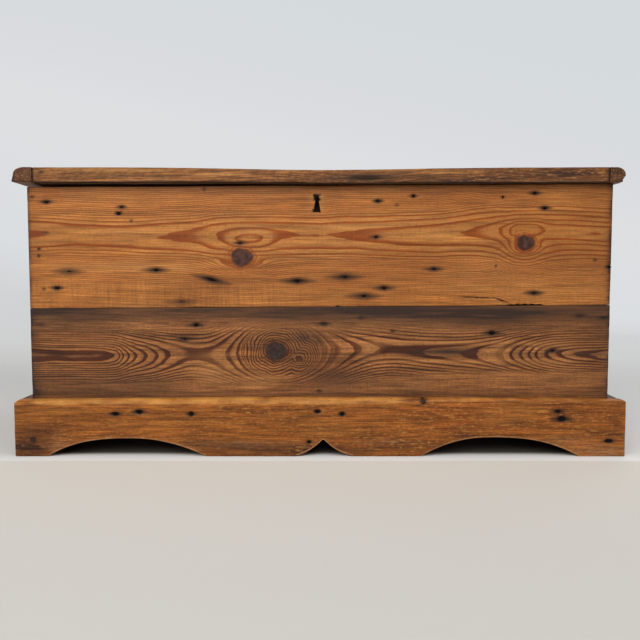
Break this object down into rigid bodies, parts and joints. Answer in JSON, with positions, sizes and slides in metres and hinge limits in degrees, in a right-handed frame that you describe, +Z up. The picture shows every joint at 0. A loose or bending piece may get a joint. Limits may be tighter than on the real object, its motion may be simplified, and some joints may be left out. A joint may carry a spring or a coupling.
{
  "type": "storage chest",
  "caption": "Old pine blanket chest with a hinged board lid, a box lock with a bare keyhole, and a plinth cut in shallow arches.",
  "frame": {"origin": "on the floor, below the middle of the closed chest's outer box", "axes": "+X to the chest's right as seen from the front, +Y to its back, +Z up"},
  "size_m": [0.92, 0.4584, 0.4325],
  "materials": {
    "waxed_old_pine": "satin wax",
    "dark_weathered_pine": "dark worn wax",
    "scuffed_plinth_pine": "scuffed wax",
    "worn_lid_pine": "worn wax",
    "raw_inner_pine": "bare dry wood",
    "aged_iron": "dull, brown-black",
    "spring_steel": "dull"
  },
  "bodies": {
    "carcass": {"front_upper_board": "waxed_old_pine", "front_lower_board": "dark_weathered_pine", "back_upper_board": "raw_inner_pine", "back_lower_board": "raw_inner_pine", "left_side_upper_board": "waxed_old_pine", "left_side_lower_board": "waxed_old_pine", "right_side_upper_board": "waxed_old_pine", "right_side_lower_board": "waxed_old_pine", "bottom_board_1": "raw_inner_pine", "bottom_board_2": "raw_inner_pine", "bottom_board_3": "raw_inner_pine", "bottom_board_4": "raw_inner_pine", "plinth_front": "scuffed_plinth_pine", "plinth_left": "scuffed_plinth_pine", "plinth_right": "scuffed_plinth_pine", "plinth_block_front_left": "raw_inner_pine", "plinth_block_front_right": "raw_inner_pine", "plinth_block_back_left": "raw_inner_pine", "plinth_block_back_right": "raw_inner_pine", "lock_plate": "aged_iron", "lock_case": "aged_iron", "lock_key_pin": "aged_iron", "lock_ward": "aged_iron", "lock_screw_1": "aged_iron", "lock_screw_2": "aged_iron", "lock_screw_3": "aged_iron", "lock_screw_4": "aged_iron", "hinge_left_carcass_leaf": "aged_iron", "hinge_left_pin": "aged_iron", "hinge_left_carcass_screw_1": "aged_iron", "hinge_left_carcass_screw_2": "aged_iron", "hinge_left_carcass_screw_3": "aged_iron", "hinge_right_carcass_leaf": "aged_iron", "hinge_right_pin": "aged_iron", "hinge_right_carcass_screw_1": "aged_iron", "hinge_right_carcass_screw_2": "aged_iron", "hinge_right_carcass_screw_3": "aged_iron", "lock_spring": "spring_steel"},
    "lid": {"lid_board_1": "worn_lid_pine", "lid_board_2": "worn_lid_pine", "lid_board_3": "worn_lid_pine", "lid_left_cleat": "worn_lid_pine", "lid_right_cleat": "worn_lid_pine", "lid_link_plate": "aged_iron", "link_plate_screw_1": "aged_iron", "link_plate_screw_2": "aged_iron", "hinge_left_lid_leaf": "aged_iron", "hinge_left_lid_screw_1": "aged_iron", "hinge_left_lid_screw_2": "aged_iron", "hinge_left_lid_screw_3": "aged_iron", "hinge_right_lid_leaf": "aged_iron", "hinge_right_lid_screw_1": "aged_iron", "hinge_right_lid_screw_2": "aged_iron", "hinge_right_lid_screw_3": "aged_iron"},
    "bolt": {"lock_bolt": "aged_iron"}
  },
  "joints": [
    {"name": "lid_hinge", "type": "hinge", "parent": "carcass", "child": "lid", "pos_m": [0, 0.21725, 0.41085], "axis": [-1, 0, 0], "range_deg": [0, 99]},
    {"name": "lock_bolt_slide", "type": "slide", "parent": "carcass", "child": "bolt", "axis": [1, 0, 0], "range_m": [0, 0.006]}
  ]
}
